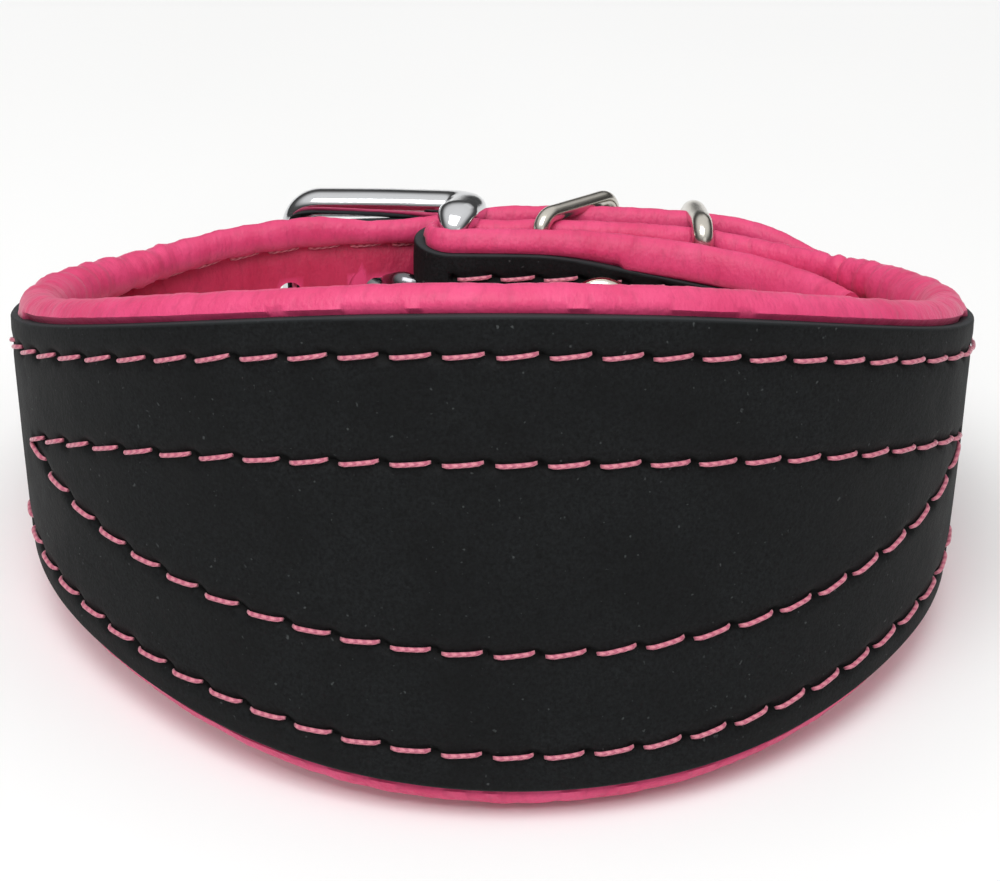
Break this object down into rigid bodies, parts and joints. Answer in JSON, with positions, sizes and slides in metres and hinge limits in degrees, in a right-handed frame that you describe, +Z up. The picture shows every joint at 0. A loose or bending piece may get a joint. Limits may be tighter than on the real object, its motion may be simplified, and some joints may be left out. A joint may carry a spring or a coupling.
{
  "type": "padded dog collar",
  "caption": "Wide lens-shaped padded leather sighthound collar, buckled closed, with a keeper loop and a D-ring behind the buckle.",
  "frame": {"origin": "on the floor under the middle of the collar's bounding box, with the collar standing on its panel's lower edge, buckle frame and D-ring", "axes": "+Z up from the floor, +Y from the front of the panel towards the buckle, +X towards the side where the D-ring is, right-handed"},
  "size_m": [0.1122, 0.1028, 0.0535],
  "materials": {
    "black_leather": "matte",
    "pink_leather": "satin",
    "foam": "soft",
    "pink_thread": "waxed",
    "chrome": "polished",
    "nickel": "polished"
  },
  "bodies": {
    "collar": {"outer_leather": "black_leather", "lining_leather": "pink_leather", "foam_padding": "foam", "stitches_panel_upper": "pink_thread", "stitches_panel_lower": "pink_thread", "stitches_almond_upper": "pink_thread", "stitches_almond_lower": "pink_thread", "stitches_right_strap": "pink_thread", "stitches_billet": "pink_thread", "rivet_post": "nickel", "rivet_cap": "nickel"},
    "frame": {"buckle_frame": "chrome"},
    "prong": {"buckle_prong": "chrome"},
    "keeper": {"keeper_loop": "nickel"},
    "ring": {"d_ring": "nickel"}
  },
  "joints": [
    {"name": "frame_rock", "type": "hinge", "parent": "collar", "child": "frame", "pos_m": [-0.00514, 0.031, 0.01632], "axis": [-0.0141, 0.2392, 0.9709], "range_deg": [-2, 2]},
    {"name": "prong_lift", "type": "hinge", "parent": "frame", "child": "prong", "pos_m": [-0.00514, 0.031, 0.01632], "axis": [0.0141, -0.2392, -0.9709], "range_deg": [0, 4]},
    {"name": "keeper_swing", "type": "hinge", "parent": "collar", "child": "keeper", "pos_m": [0.00586, 0.03102, 0.01647], "axis": [-0.0141, 0.2392, 0.9709], "range_deg": [-2, 58]},
    {"name": "ring_swing", "type": "hinge", "parent": "collar", "child": "ring", "pos_m": [0.0265, 0.0302, 0.0158], "axis": [-0.0141, 0.2392, 0.9709], "range_deg": [-60, 6]}
  ]
}
